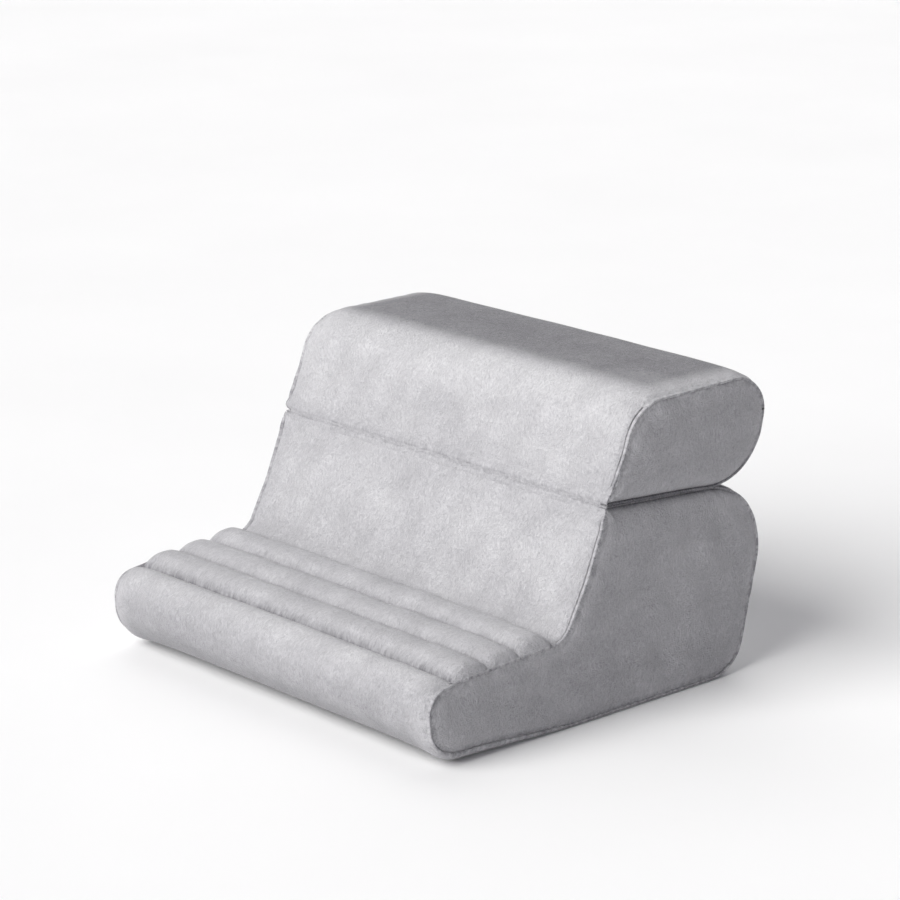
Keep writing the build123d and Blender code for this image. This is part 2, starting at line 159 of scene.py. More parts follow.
def lower_back_corner():
    """Where the line of the lower back meets the plane between the blocks."""
    rise = (split_z(LOWER_CORNER, BACK_FOOT_Y) - FLOOR_Z) / (1 + SPLIT_FALL * BACK_LEAN)
    return (BACK_FOOT_Y + BACK_LEAN * rise, FLOOR_Z + rise)


LOWER_OUTLINE = [
    ((FRONT_Y, FLOOR_Z), 27.0),
    ((BACK_FOOT_Y, FLOOR_Z), 26.0),
    (lower_back_corner(), 43.0),
    (LOWER_CORNER, 2.5),
    (slope_foot(), 14.0),
    ((FRONT_Y, ledge_z(FRONT_Y)), 15.0),
]
UPPER_OUTLINE = [
    (UPPER_CORNER, 3.0),
    ((BACK_Y, split_z(UPPER_CORNER, BACK_Y)), UPPER_BACK_RADIUS),
    ((BACK_Y, TOP_Z), 24.0),
    ((UPPER_CORNER[0] + (TOP_Z - UPPER_CORNER[1]) * FACE_RUN, TOP_Z), 30.0),
]


# ---- outlines

def corner_shapes(corners):
    """Each corner's point, radius, way back along its line, way into it, angle, and 1 or -1 (hollow)."""
    for i, (corner, radius) in enumerate(corners):
        p = np.array(corner)
        back = np.array(corners[i - 1][0]) - p
        ahead = np.array(corners[(i + 1) % len(corners)][0]) - p
        back /= np.linalg.norm(back)
        ahead /= np.linalg.norm(ahead)
        middle = (back + ahead) / np.linalg.norm(back + ahead)
        angle = math.acos(np.clip(back @ ahead, -1, 1))
        side = 1 if back[0] * ahead[1] - back[1] * ahead[0] < 0 else -1
        yield p, radius, back, middle, angle, side


def rounded(corners, step=0.4):
    """Dense closed polyline through the corners with their radii, counterclockwise in (y, z)."""
    points = []
    for p, radius, back, middle, angle, side in corner_shapes(corners):
        turn = math.pi - angle
        centre = p + middle * radius / math.cos(turn / 2)
        start = p + back * (radius * math.tan(turn / 2)) - centre
        parts = max(4, int(radius * turn / step))
        for k in range(parts + 1):
            swung = side * turn * k / parts
            c, s = math.cos(swung), math.sin(swung)
            points.append(centre + (c * start[0] - s * start[1], s * start[0] + c * start[1]))
    return np.array(points)


class Outline:
    """A closed section with places on it measured by the length s along it."""

    def __init__(self, corners):
        corner_points = rounded(corners)
        closed = np.vstack([corner_points, corner_points[:1]])
        lengths = np.concatenate([[0], np.cumsum(np.linalg.norm(np.diff(closed, axis=0), axis=1))])
        self.total = lengths[-1]
        count = int(self.total / 0.5)
        self.s = np.linspace(0, self.total, count + 1)
        self.p = np.stack([np.interp(self.s, lengths, closed[:, k]) for k in (0, 1)], axis=1)
        tangent = np.roll(self.p[:-1], -1, axis=0) - np.roll(self.p[:-1], 1, axis=0)
        normal = np.stack([tangent[:, 1], -tangent[:, 0]], axis=1)
        for _ in range(3):
            normal = (np.roll(normal, 1, axis=0) + 2 * normal + np.roll(normal, -1, axis=0)) / 4
        normal /= np.linalg.norm(normal, axis=1)[:, None]
        self.n = np.vstack([normal, normal[:1]])

    def at(self, s):
        """Points and outward normals at the lengths s."""
        wrapped = np.mod(s, self.total)
        points = np.stack([np.interp(wrapped, self.s, self.p[:, k]) for k in (0, 1)], axis=-1)
        normals = np.stack([np.interp(wrapped, self.s, self.n[:, k]) for k in (0, 1)], axis=-1)
        return points, normals

    def place(self, point):
        """The length s of the outline's nearest point."""
        return self.s[np.argmin(np.linalg.norm(self.p - np.array(point), axis=1))]


def graded(start, end, fine, coarse, reach):
    """Stations from start to end, fine at both ends and coarse beyond reach."""
    places, here = [start], start
    while here < end:
        nearest = min(here - start, end - here)
        here += fine + (coarse - fine) * min(1, max(0, nearest) / reach)
        places.append(here)
    places = np.array(places[:-1]) if end - places[-2] < fine * 0.5 else np.array(places)
    return start + (places - start) * (end - start) / (places[-1] - start)


def joined(*runs):
    """Runs of stations end to end, without repeating the shared ones."""
    stations = [runs[0]]
    for run in runs[1:]:
        stations.append(run[1:])
    return np.concatenate(stations)


def ripple(a, b, wavelength, seed):
    """Smooth irregular waves over two coordinates, within about -1 to 1."""
    total = 0
    for k in range(6):
        heading = seed * 1.7 + k * 2.399
        stretch = 1 + 0.37 * math.sin(seed * 3.1 + k * 1.9)
        phase = seed * 5.3 + k * 4.1
        total = total + np.sin(
            (a * math.cos(heading) + b * math.sin(heading)) * 2 * math.pi / (wavelength * stretch) + phase
        )
    return total / 3


def rise(distance, reach):
    """0 at a seam, towards 1 away from it."""
    return 1 - np.exp(-np.maximum(distance, 0) / reach)


def hump(distance, width):
    """1 at a line, 0 well away from it."""
    return np.exp(-((distance / width) ** 2))


def smooth(low, high, value):
    """0 below low, 1 above high, with a soft step between."""
    t = np.clip((value - low) / (high - low), 0, 1)
    return t * t * (3 - 2 * t)


def eased(s, stations, values):
    """Values at stations, with a soft step between each pair."""
    stations, values = np.array(stations), np.array(values)
    i = np.clip(np.searchsorted(stations, s, side="right") - 1, 0, len(stations) - 2)
    t = np.clip((s - stations[i]) / np.maximum(stations[i + 1] - stations[i], 1e-6), 0, 1)
    return values[i] + (values[i + 1] - values[i]) * t * t * (3 - 2 * t)


# ---- the two blocks

LOWER = Outline(LOWER_OUTLINE)
UPPER = Outline(UPPER_OUTLINE)

upper_arc_y = BACK_Y - UPPER_BACK_RADIUS
upper_arc_z = split_z(UPPER_CORNER, BACK_Y) + UPPER_BACK_RADIUS * math.tan(
    (math.radians(90) + math.atan(SPLIT_FALL)) / 2
)
lower_zip_point = (BACK_FOOT_Y + BACK_LEAN * (LOWER_ZIP_Z - FLOOR_Z), LOWER_ZIP_Z)
upper_zip_point = (
    upper_arc_y + UPPER_BACK_RADIUS * math.cos(UPPER_ZIP_FACING),
    upper_arc_z - UPPER_BACK_RADIUS * math.sin(UPPER_ZIP_FACING),
)

ROLL_PITCH = (GROOVE_REAR_Y - GROOVE_FRONT_Y) / len(ROLL_CRESTS)
grooves = [
    LOWER.place((GROOVE_FRONT_Y + ROLL_PITCH * k, ledge_z(GROOVE_FRONT_Y + ROLL_PITCH * k)))
    for k in range(len(ROLL_CRESTS) + 1)
]
lower_s = {
    "start": 0,
    "lip": LOWER.place((LIP_SEAM_Y, FLOOR_Z)),
    "base": LOWER.place((BASE_SEAM_Y, FLOOR_Z)),
    "zip": LOWER.place(lower_zip_point),
    "back": LOWER.place((131, 82)),
    "shoulder": LOWER.place((120, 104)),
    "top": LOWER.place((TOP_SEAM_Y, split_z(LOWER_CORNER, TOP_SEAM_Y))),
    "hinge": LOWER.place(LOWER_CORNER),
    "foot": LOWER.place((-31, 56)),
    "front_groove": grooves[0],
    "rear_groove": grooves[-1],
    "lip_top": LOWER.place((-118, 47)),
    "end": LOWER.total,
}
lower_s["slope"] = (lower_s["hinge"] + lower_s["foot"]) / 2
upper_s = {
    "start": 0,
    "hinge": 3.0,
    "contact": UPPER.place((66, split_z(UPPER_CORNER, 66))),
    "bottom": UPPER.place((86.2, split_z(UPPER_CORNER, 86.2))),
    "zip": UPPER.place(upper_zip_point),
    "back": UPPER.place((BACK_Y, 162)),
    "top_back": UPPER.place((BACK_Y - 14, TOP_Z)),
    "top_front": UPPER.place((48, TOP_Z)),
    "brow": UPPER.place((28, 173)),
    "face": UPPER.place((14, 152)),
    "end": UPPER.total,
}
upper_s["top_middle"] = (upper_s["top_back"] + upper_s["top_front"]) / 2


@dataclass
class Block:
    """One cushion: its outline, and how its cover stands off the outline everywhere."""

    name: str
    outline: Outline
    places: dict  # named places along the outline; the tables below hold (place, offset, value) rows
    crown: list  # swell of the cover well away from the side seams
    edge: list  # quick rounding beside a side seam
    fin: list  # how far the pinched side seam stands out
    tuck: list  # where the two blocks meet, how far the seam hides inside
    sink: list  # how far a side seam lies inside the outline
    lift: list  # height that the base's ends turn up to their seam
    painted_shading: list  # painted shade and highlight over the wrap: darker on the upper block's top and the lip's front, lighter on the brow, lip top and slope
    rim_shading: list  # painted highlight and shade on the rounding beside a side seam
    sides: float  # swell of the side panels
    zip_s: float  # where the zip runs across the block

    def stations(self, rows, s):
        """A table's value at each length s."""
        places = [self.places[row[0]] + (row[1] if len(row) == 3 else 0) for row in rows]
        return eased(np.mod(s, self.outline.total), places, [row[-1] for row in rows])

    def sewn(self, s, x, d):
        """Sewn lines across the block, other than its side seams."""
        return np.zeros(np.broadcast(s, x).shape)

    def height(self, s, x):
        """How far the wrap stands off the outline."""
        d = HALF - np.abs(x)
        crown = self.stations(self.crown, s)
        edge = self.stations(self.edge, s)
        fin = self.stations(self.fin, s)
        tuck = self.stations(self.tuck, s)
        h = crown * rise(d, 13) + edge * rise(d, 2.2) - self.stations(self.sink, s) * np.exp(-d / 7.5)
        h = h + fin * (FIN_RISE * hump(d, FIN_WIDTH) - hump(d - 2.0, 0.9))
        h = h - TUCK_FALL * tuck * np.exp(-d / TUCK_FALL_REACH)
        soft = np.clip(edge, 0, 1)
        beside = np.exp(-d / 7) * np.clip(d / 2.5, 0, 1)
        h = h + soft * 0.55 * beside * ripple(s, x * 0.35, 10, 1.0)
        h = h + soft * 0.30 * rise(d, 18) * ripple(s, x, 62, 2.0)
        h = h + self.sewn(s, x, d)
        u = np.mod(s, self.outline.total) - self.zip_s
        slot = (1 - smooth(ZIP_SLOT, ZIP_SLOT + 0.7, np.abs(u))) * (
            1 - smooth(ZIP_HALF_X - 1.4, ZIP_HALF_X - 0.4, np.abs(x))
        )
        flat = (1 - smooth(*ZIP_FLAT, np.abs(u))) * (1 - smooth(ZIP_HALF_X + 4, ZIP_HALF_X + 14, np.abs(x)))
        h = h * (1 - flat) - ZIP_FLAT_DEPTH * flat
        return h * (1 - slot) - ZIP_SUNK * slot

    def wrap(self, s, x):
        """Points of the wrap strip at lengths s and places x, in millimetres."""
        s, x = np.broadcast_arrays(s, x)
        d = HALF - np.abs(x)
        points, normals = self.outline.at(s)
        h = self.height(s, x)
        fin = self.stations(self.fin, s)
        tuck = self.stations(self.tuck, s)
        out = FIN_OUT * fin * hump(d, FIN_WIDTH) - TUCK_DEPTH * tuck * np.exp(-d / TUCK_REACH)
        y = points[..., 0] + normals[..., 0] * h
        z = points[..., 1] + normals[..., 1] * h
        z = np.maximum(z + self.turned_up(s, points, d), FLOOR_Z)
        return np.stack([x + np.sign(x) * out, y, z], axis=-1)

    def turned_up(self, s, points, d):
        """The base's ends curl up to the side seam."""
        lift = self.stations(self.lift, s)
        near = 1 - np.clip(d / (2.0 + lift), 0, 1)
        return lift * (1 - np.sqrt(np.clip(1 - near**2, 0, 1))) * np.exp(-(points[..., 1] - FLOOR_Z) / 11)

    def end_outline(self, s):
        """The side panel's flat outline, in (y, z)."""
        points, normals = self.outline.at(s)
        flat = points - normals * self.stations(self.sink, s)[:, None]
        flat[:, 1] = np.maximum(flat[:, 1] + self.turned_up(s, points, np.zeros(len(s))), FLOOR_Z)
        return flat

    def brushed(self, s, x):
        """Painted shade and highlight over the wrap, put down as the pile's tone, and painted shade in the
        crease between the blocks.
        """
        d = HALF - np.abs(x)
        away = smooth(3, 20, d)
        # painted shade in the crease where the two blocks meet
        crease = CREASE_SHADE * self.stations(self.tuck, s) * np.exp(-d / 4)
        return self.stations(self.painted_shading, s) * away + self.stations(self.rim_shading, s) * (1 - away) - crease

    def side(self, y, z, distance, s):
        """How far the side panel stands outside the side seam."""
        fin = self.stations(self.fin, s)
        tuck = self.stations(self.tuck, s)
        out = 1.1 * rise(distance, 2.2) + self.sides * rise(distance, 15)
        out = out + FIN_OUT * fin * hump(distance, FIN_WIDTH) - 0.35 * fin * hump(distance - 2.4, 1.0)
        out = out - TUCK_DEPTH * tuck * np.exp(-distance / TUCK_REACH)
        beside = np.exp(-distance / 7) * np.clip(distance / 2.5, 0, 1)
        out = out + 0.5 * beside * ripple(s, distance * 0.35, 10, 4.0)
        return out + 0.35 * rise(distance, 18) * ripple(y, z, 55, 5.0)


class LowerBlock(Block):
    def sewn(self, s, x, d):
        s, x, d = np.broadcast_arrays(s, x, d)
        away = rise(d, 4)
        depth = SEWN_DEPTH * away * (1 + 0.12 * ripple(x, s, 23, 6.0))
        ends = (1 - (1 - np.clip((d - 0.6) / 5.8, 0, 1)) ** 1.8) * (1 - 0.16 * np.exp(-d / 16))
        h = np.zeros(s.shape)
        h -= np.where(s > grooves[0], depth * hump(s - grooves[0], 4.5), 0)
        h -= np.where(s < grooves[-1], 0.8 * depth * hump(s - grooves[-1], 6.0), 0)
        h += np.where(s < grooves[-1], -0.2 * depth * hump(s - grooves[-1], 2.0), 0)
        for k, crest in enumerate(ROLL_CRESTS):
            high, low = grooves[k], grooves[k + 1]
            inside = (s <= high) & (s > low)
            t = np.clip(np.abs((s - (high + low) / 2) / ((high - low) / 2)), 0, 1)
            shape = (1 - t**2.5) ** 0.56
            full = crest * (1 + 0.05 * ripple(x, s * 0.3, 37, 7.0 + k)) * ends
            gather = 0.1 * ripple(x, s * 0.6, 9.5, 9.0 + k) * np.clip(t, 0, 1) ** 2 * ends * (1 - t**8)
            h = np.where(inside, -depth + (full + depth) * shape + gather, h)
        h = h - 0.9 * hump(s - lower_s["top"], 2.0)
        return h

    def brushed(self, s, x):
        """Painted shade also darkens the grooves between the rolls."""
        tone = super().brushed(s, x)
        for groove in grooves:
            tone = tone - GROOVE_SHADE * hump(s - groove, 2.4)
        return tone


lower = LowerBlock(
    "lower", LOWER, lower_s,
    crown=[("start", 0.1), ("start", 18, -3.4), ("lip", -3.8), ("lip", 45, 0), ("base", 0),
        ("base", 20, 0.6), ("zip", 0.5), ("back", 1.2), ("shoulder", 1.2), ("top", 0.4), ("top", 9, 0),
        ("hinge", -1.0), ("hinge", 3, -1.7), ("hinge", 8, -1.1), ("hinge", 16, -0.4), ("slope", 0.3),
        ("foot", 0.3), ("rear_groove", 0), ("front_groove", 0), ("front_groove", 8, 1.0),
        ("lip_top", 1.3), ("end", 0.2)],
    edge=[("start", 1.0), ("lip", 0), ("base", 0), ("base", 12, 0.8), ("zip", 0.8), ("back", 1.1),
        ("top", 0.4), ("top", 9, 0), ("hinge", 0), ("hinge", 12, 0.3), ("slope", 0.6), ("foot", 0.7),
        ("rear_groove", 0.3), ("front_groove", 0.3), ("front_groove", 6, 0.9), ("end", 1.0)],
    fin=[("start", 0.55), ("lip", 0.45), ("base", 0.45), ("zip", 0.4), ("shoulder", 0.35), ("top", 0),
        ("hinge", 1, 0), ("hinge", 10, 1.0), ("foot", 0.9), ("rear_groove", 0.7), ("front_groove", 0.7),
        ("lip_top", 0.5), ("end", 0.55)],
    tuck=[("start", 0), ("shoulder", 0), ("top", TUCK_FULL), ("hinge", -6, TUCK_FULL), ("hinge", 3, 0),
        ("end", 0)],
    sink=[("start", 3.6), ("lip", 0), ("base", 0), ("zip", 0.8), ("back", 0.8), ("top", 0),
        ("hinge", -2, 0.4), ("hinge", 3, 1.7), ("hinge", 16, 3.6), ("slope", 4.4), ("foot", 1.8),
        ("front_groove", 1.8), ("lip_top", 2.8), ("end", 3.6)],
    rim_shading=[("start", 0), ("end", 0)],
    lift=[("start", SIDE_SEAM_LIFT), ("lip", SIDE_SEAM_LIFT), ("lip", 90, 2.0), ("base", 2.0),
        ("end", SIDE_SEAM_LIFT)],
    # painted shade on the lip's front and the base, painted highlight on the slope and lip top
    painted_shading=[("start", -0.14), ("lip", -0.16), ("base", -0.05), ("back", -0.03), ("hinge", 0.02),
        ("slope", 0.05), ("foot", 0.03), ("front_groove", 0.03), ("lip_top", 0.08), ("end", -0.12)],
    sides=2.2,
    zip_s=lower_s["zip"],
)
upper = Block(
    "upper", UPPER, upper_s,
    crown=[("start", 0), ("contact", 0), ("bottom", 0.5), ("zip", 0.5), ("back", 1.2),
        ("top_back", 1.4), ("top_middle", 1.8), ("top_front", 2.2), ("brow", 1.7), ("face", 0.1),
        ("end", -16, -0.5), ("end", -8, -1.1), ("end", -3, -1.7), ("end", -0.9)],
    edge=[("start", 0), ("contact", 0), ("bottom", 0.5), ("zip", 0.7), ("back", 0.9), ("top_back", 0.9),
        ("top_front", 1.0), ("brow", 0.9), ("face", 0.6), ("end", -10, 0.25), ("end", 0)],
    fin=[("start", 0), ("bottom", 0), ("zip", 0.3), ("back", 0.3), ("top_back", 0.25),
        ("top_front", 0.45), ("brow", 0.9), ("face", 1.0), ("end", -11, 0.9), ("end", -1, 0),
        ("end", 0)],
    tuck=[("start", 0), ("start", 6, TUCK_FULL), ("contact", TUCK_FULL), ("zip", 0), ("end", 0)],
    sink=[("start", 0.5), ("start", 6, 0.2), ("bottom", 0.2), ("back", 0.6), ("top_back", 1.8),
        ("top_front", 3.0), ("brow", 4.2), ("face", 4.8), ("end", -14, 3.4), ("end", -3, 1.8),
        ("end", 0.5)],
    lift=[("start", 0), ("end", 0)],
    # painted shade over the top, painted highlight on the brow and face
    painted_shading=[("start", 0), ("back", -0.05), ("top_back", -0.29), ("top_middle", -0.32),
        ("top_front", -6, -0.28), ("brow", -8, 0.12), ("face", 0.05), ("end", 0.03)],
    # painted highlight on the rounding at the top front and brow, faint painted shade at the back
    rim_shading=[("start", 0), ("back", -0.03), ("top_back", 0.02), ("top_front", 0.06), ("brow", 0.08),
        ("end", 0)],
    sides=2.7,
    zip_s=upper_s["zip"],
)


# ---- meshes

def make_mesh(name, vertices, faces, cloth_co=None, seam=None, painted_shading=None):
    """A mesh object in metres from points in millimetres, with the fabric's own coordinates."""
    mesh = bpy.data.meshes.new(name)
    mesh.from_pydata((np.asarray(vertices) * MM).tolist(), [], [list(map(int, f)) for f in faces])
    mesh.validate()
    if cloth_co is not None:
        attribute = mesh.attributes.new("cloth_co", "FLOAT_VECTOR", "POINT")
        attribute.data.foreach_set("vector", (np.asarray(cloth_co) * MM).astype(np.float32).ravel())
    for kind, values in (("seam", seam), ("painted_shading", painted_shading)):
        if values is not None:
            attribute = mesh.attributes.new(kind, "FLOAT", "POINT")
            attribute.data.foreach_set("value", np.asarray(values, np.float32))
    mesh.polygons.foreach_set("use_smooth", [True] * len(mesh.polygons))
    piece = bpy.data.objects.new(name, mesh)
    bpy.context.scene.collection.objects.link(piece)
    return piece


def vertex_normals(vertices, faces):
    """Unit normals of an open sheet's points, weighted by the area of their faces."""
    normals = np.zeros_like(vertices)
    for size in {len(f) for f in faces}:
        group = np.array([f for f in faces if len(f) == size])
        corners = vertices[group]
        normal = np.cross(corners[:, 1] - corners[:, 0], corners[:, 2] - corners[:, 0])
        if size == 4:
            normal = normal + np.cross(corners[:, 2] - corners[:, 0], corners[:, 3] - corners[:, 0])
        for k in range(size):
            np.add.at(normals, group[:, k], normal)
    return normals / np.maximum(np.linalg.norm(normals, axis=1), 1e-12)[:, None]


def border_edges(faces):
    """Edges with one face only, each in its face's own direction."""
    seen = {}
    for face in faces:
        for a, b in zip(face, list(face[1:]) + [face[0]]):
            key = (a, b) if a < b else (b, a)
            seen[key] = None if key in seen else (a, b)
    return [edge for edge in seen.values() if edge is not None]


def closed_sheet(vertices, faces, thickness):
    """Outer and inner skin of a fabric panel, joined round its border."""
    count = len(vertices)
    inner = vertices - vertex_normals(vertices, faces) * thickness
    all_faces = [list(f) for f in faces]
    all_faces += [[v + count for v in reversed(f)] for f in faces]
    all_faces += [[b, a, a + count, b + count] for a, b in border_edges(faces)]
    return np.vstack([vertices, inner]), all_faces


def grid_faces(rows, columns):
    """Quads over a grid of points, stored row by row."""
    index = np.arange(rows * columns).reshape(rows, columns)
    a, b, c, d = index[:-1, :-1], index[:-1, 1:], index[1:, 1:], index[1:, :-1]
    return np.stack([a, b, c, d], axis=-1).reshape(-1, 4).tolist()


# Distances from a side seam at which a panel has a row of points.
X_STEPS = [0, 0.35, 0.8, 1.4, 2.1, 3.0, 4.0, 5.2, 6.6, 8.4, 10.6, 13.2, 16.0]


def x_stations(step):
    """Places across the block, fine beside both side seams and at the ends of the zip slot."""
    inner = HALF - X_STEPS[-1]
    ends = np.array([HALF - d for d in X_STEPS])
    slot = np.array([ZIP_HALF_X - 1.6, ZIP_HALF_X - 0.9, ZIP_HALF_X - 0.2])
    middle = graded(-slot[0], slot[0], step, step, 1)
    outer = graded(slot[-1], inner, step, step, 1)
    right = np.concatenate([slot[1:], outer[1:], ends[::-1][1:]])
    return np.concatenate([-right[::-1], middle, right])


def wrap_panel(block, name, s, step, colour_shift):
    """One sewn strip of a cover, from station s[0] to s[-1]."""
    x = x_stations(step)
    points = block.wrap(s[:, None], x[None, :]).reshape(-1, 3)
    faces = grid_faces(len(s), len(x))
    across, along = np.meshgrid(x, s)
    swirl = SWIRL * ripple(across, along, 40, 51.0)
    cloth = np.stack([across + swirl, along, np.full(across.shape, colour_shift)], axis=-1).reshape(-1, 3)
    distance = np.minimum(HALF - np.abs(across), np.minimum(along - s[0], s[-1] - along))
    hidden = block.stations(block.tuck, along) / TUCK_FULL
    seam = (np.exp(-np.maximum(distance, 0) / SEAM_REACH) * (1 - hidden)).reshape(-1)
    # painted shade and highlight, handed to the material as a point attribute
    painted_shading = block.brushed(along, across).reshape(-1)
    vertices, closed = closed_sheet(points, faces, CLOTH_THICKNESS)
    return make_mesh(name, vertices, closed, np.vstack([cloth, cloth]), np.tile(seam, 2), np.tile(painted_shading, 2))


BATCH = 400  # points measured at a time, to spare memory


def nearest_on_loop(points, loop, lengths):
    """Distance of each point from a closed loop, and the length along it there."""
    edge = np.roll(loop, -1, axis=0) - loop
    size = np.maximum((edge**2).sum(axis=1), 1e-12)
    distance = np.empty(len(points))
    place = np.empty(len(points))
    ahead = np.append(lengths[1:], lengths[0] + (lengths[-1] - lengths[-2]) + lengths[-1])
    for i in range(0, len(points), BATCH):
        batch = points[i:i + BATCH, None, :] - loop[None]
        t = np.clip((batch * edge[None]).sum(axis=2) / size[None], 0, 1)
        gap = np.linalg.norm(batch - t[..., None] * edge[None], axis=2)
        k = gap.argmin(axis=1)
        rows = np.arange(len(k))
        distance[i:i + BATCH] = gap[rows, k]
        place[i:i + BATCH] = lengths[k] + t[rows, k] * (ahead[k] - lengths[k])
    return distance, place


def flat_side(block, s, step):
    """Triangulated flat side panel: (y, z) points, triangles, distance to the seam, length along it."""
    loop = block.end_outline(s)
    edge = np.roll(loop, -1, axis=0) - np.roll(loop, 1, axis=0)
    inward = np.stack([-edge[:, 1], edge[:, 0]], axis=1)
    inward /= np.linalg.norm(inward, axis=1)[:, None]
    candidates = []
    for ring, d in enumerate(X_STEPS[1:]):
        spread = max(1, int(round(d / 2.2)))
        candidates.append(loop[ring % spread::spread] + inward[ring % spread::spread] * d)
    low, high = loop.min(axis=0), loop.max(axis=0)
    rows = []
    for j, z in enumerate(np.arange(low[1], high[1], step * 0.87)):
        y = np.arange(low[0] + (j % 2) * step / 2, high[0], step)
        rows.append(np.stack([y, np.full(len(y), z)], axis=1))
    candidates.append(np.vstack(rows))
    kept = [loop]
    for ring, group in enumerate(candidates):
        in_ring = ring + 1 < len(X_STEPS)
        wanted = X_STEPS[ring + 1] - 0.04 if in_ring else X_STEPS[-1] + step * 0.6
        distance, _ = nearest_on_loop(group, loop, s)
        kept.append(group[(distance > wanted) & inside_loop(group, loop)])
    points = np.vstack(kept)
    border = [(i, (i + 1) % len(loop)) for i in range(len(loop))]
    found = delaunay_2d_cdt([Vector(p) for p in points.tolist()], border, [], 1, 1e-5)
    flat = np.array([tuple(v) for v in found[0]])
    triangles = [list(t) for t in found[2]]
    distance, place = nearest_on_loop(flat, loop, s)
    return flat, triangles, distance, place


def inside_loop(points, loop):
    """True for each point inside the closed loop."""
    crossings = np.zeros(len(points), int)
    for a, b in zip(loop, np.roll(loop, -1, axis=0)):
        if a[1] == b[1]:
            continue
        between = (a[1] > points[:, 1]) != (b[1] > points[:, 1])
        at = a[0] + (points[:, 1] - a[1]) / (b[1] - a[1]) * (b[0] - a[0])
        crossings += between & (points[:, 0] < at)
    return crossings % 2 == 1


def side_points(block, flat, distance, place, side):
    """The flat panel's points moved out to its swollen shape, on side -1 (left) or 1 (right)."""
    out = block.side(flat[:, 0], flat[:, 1], distance, place)
    points = np.stack([side * (HALF + out), flat[:, 0], flat[:, 1]], axis=1)
    normals = block.outline.at(place)[1]
    fin = FIN_RISE * block.stations(block.fin, place) * hump(distance, FIN_WIDTH)
    tuck = TUCK_FALL * block.stations(block.tuck, place) * np.exp(-distance / TUCK_FALL_REACH)
    points[:, 1:] += (fin - tuck)[:, None] * normals
    return points


def side_panel(block, name, stations, step, side, colour_shift):
    """One end panel of a cover."""
    flat, triangles, distance, place = flat_side(block, stations, step)
    points = side_points(block, flat, distance, place, side)
    normal_out = np.cross(points[triangles[0][1]] - points[triangles[0][0]],
                          points[triangles[0][2]] - points[triangles[0][0]])[0]
    if normal_out * side < 0:
        triangles = [list(reversed(t)) for t in triangles]
    swirl = [SWIRL * ripple(flat[:, 0], flat[:, 1], 34, 52.0 + k) for k in range(2)]
    shift = np.full(len(flat), colour_shift)
    cloth = np.column_stack([flat[:, 0] + swirl[0], flat[:, 1] + swirl[1], shift])
    tuck = block.stations(block.tuck, place)
    seam = np.exp(-distance / SEAM_REACH) * (1 - tuck / TUCK_FULL)
    # painted shade over the side panel, deeper in the crease between the blocks
    painted_shading = SIDE_SHADE * smooth(0, 10, distance) - CREASE_SHADE * tuck * np.exp(-distance / 1.8)
    vertices, closed = closed_sheet(points, triangles, CLOTH_THICKNESS)
    return make_mesh(name, vertices, closed, np.vstack([cloth, cloth]), np.tile(seam, 2), np.tile(painted_shading, 2))


# ---- materials

class Surface:
    """A node material, with short ways to add and join its nodes."""

    def __init__(self, name, roughness, specular=0.5, metallic=0.0, sheen=0.0):
        self.material = bpy.data.materials.new(name)
        self.material.use_nodes = True
        self.tree = self.material.node_tree
        self.shader = self.tree.nodes["Principled BSDF"]
        for socket, number in (
            ("Roughness", roughness), ("Specular IOR Level", specular), ("Metallic", metallic),
            ("Sheen Weight", sheen), ("Sheen Roughness", 0.35),
        ):
            self.shader.inputs[socket].default_value = number

    def link(self, source, target):
        self.tree.links.new(source, target)

    def attribute(self, name, output):
        node = self.tree.nodes.new("ShaderNodeAttribute")
        node.attribute_name = name
        return node.outputs[output]

    def place(self):
        return self.tree.nodes.new("ShaderNodeNewGeometry").outputs["Position"]

    def fed(self, kind, vector, output, **numbers):
        """Output of a node that takes a vector, with its other sockets set by name."""
        node = self.tree.nodes.new("ShaderNode" + kind)
        self.link(vector, node.inputs["Vector"])
        for socket, number in numbers.items():
            node.inputs[socket].default_value = number
        return node.outputs[output]

    def mapped(self, vector, scale, turn=(0, 0, 0)):
        return self.fed("Mapping", vector, "Vector", Scale=scale, Rotation=turn)

    def noise(self, vector, scale, detail=2.0, distortion=0.0):
        return self.fed("TexNoise", vector, "Fac", Scale=scale, Detail=detail, Distortion=distortion)

    def cells(self, vector, scale):
        return self.fed("TexVoronoi", vector, "Distance", Scale=scale)

    def wave(self, vector, scale, direction, distortion=0.0):
        bands = self.fed("TexWave", vector, "Fac", Scale=scale, Distortion=distortion)
        bands.node.bands_direction = direction
        return bands

    def levels(self, value, low, high, to_low, to_high):
        node = self.tree.nodes.new("ShaderNodeMapRange")
        self.link(value, node.inputs["Value"])
        names = ("From Min", "From Max", "To Min", "To Max")
        for name, number in zip(names, (low, high, to_low, to_high)):
            node.inputs[name].default_value = number
        return node.outputs["Result"]

    def math(self, operation, first, second):
        node = self.tree.nodes.new("ShaderNodeMath")
        node.operation = operation
        for socket, value in zip(node.inputs, (first, second)):
            if isinstance(value, (int, float)):
                socket.default_value = value
            else:
                self.link(value, socket)
        return node.outputs["Value"]

    def weighted(self, *pairs):
        """Sum of values times their weights."""
        total = None
        for value, weight in pairs:
            part = self.math("MULTIPLY", value, weight)
            total = part if total is None else self.math("ADD", total, part)
        return total

    def ramp(self, value, stops):
        node = self.tree.nodes.new("ShaderNodeValToRGB")
        self.link(value, node.inputs["Fac"])
        elements = node.color_ramp.elements
        while len(elements) < len(stops):
            elements.new(0.5)
        for element, (position, colour) in zip(elements, stops):
            element.position = position
            element.color = (*colour, 1)
        return node.outputs["Color"]

    def bump(self, height, strength, distance, after=None):
        node = self.tree.nodes.new("ShaderNodeBump")
        self.link(height, node.inputs["Height"])
        node.inputs["Strength"].default_value = strength
        node.inputs["Distance"].default_value = distance
        if after is not None:
            self.link(after, node.inputs["Normal"])
        return node.outputs["Normal"]

    def done(self, colour, normal):
        self.link(colour, self.shader.inputs["Base Color"])
        self.link(normal, self.shader.inputs["Normal"])
        return self.material


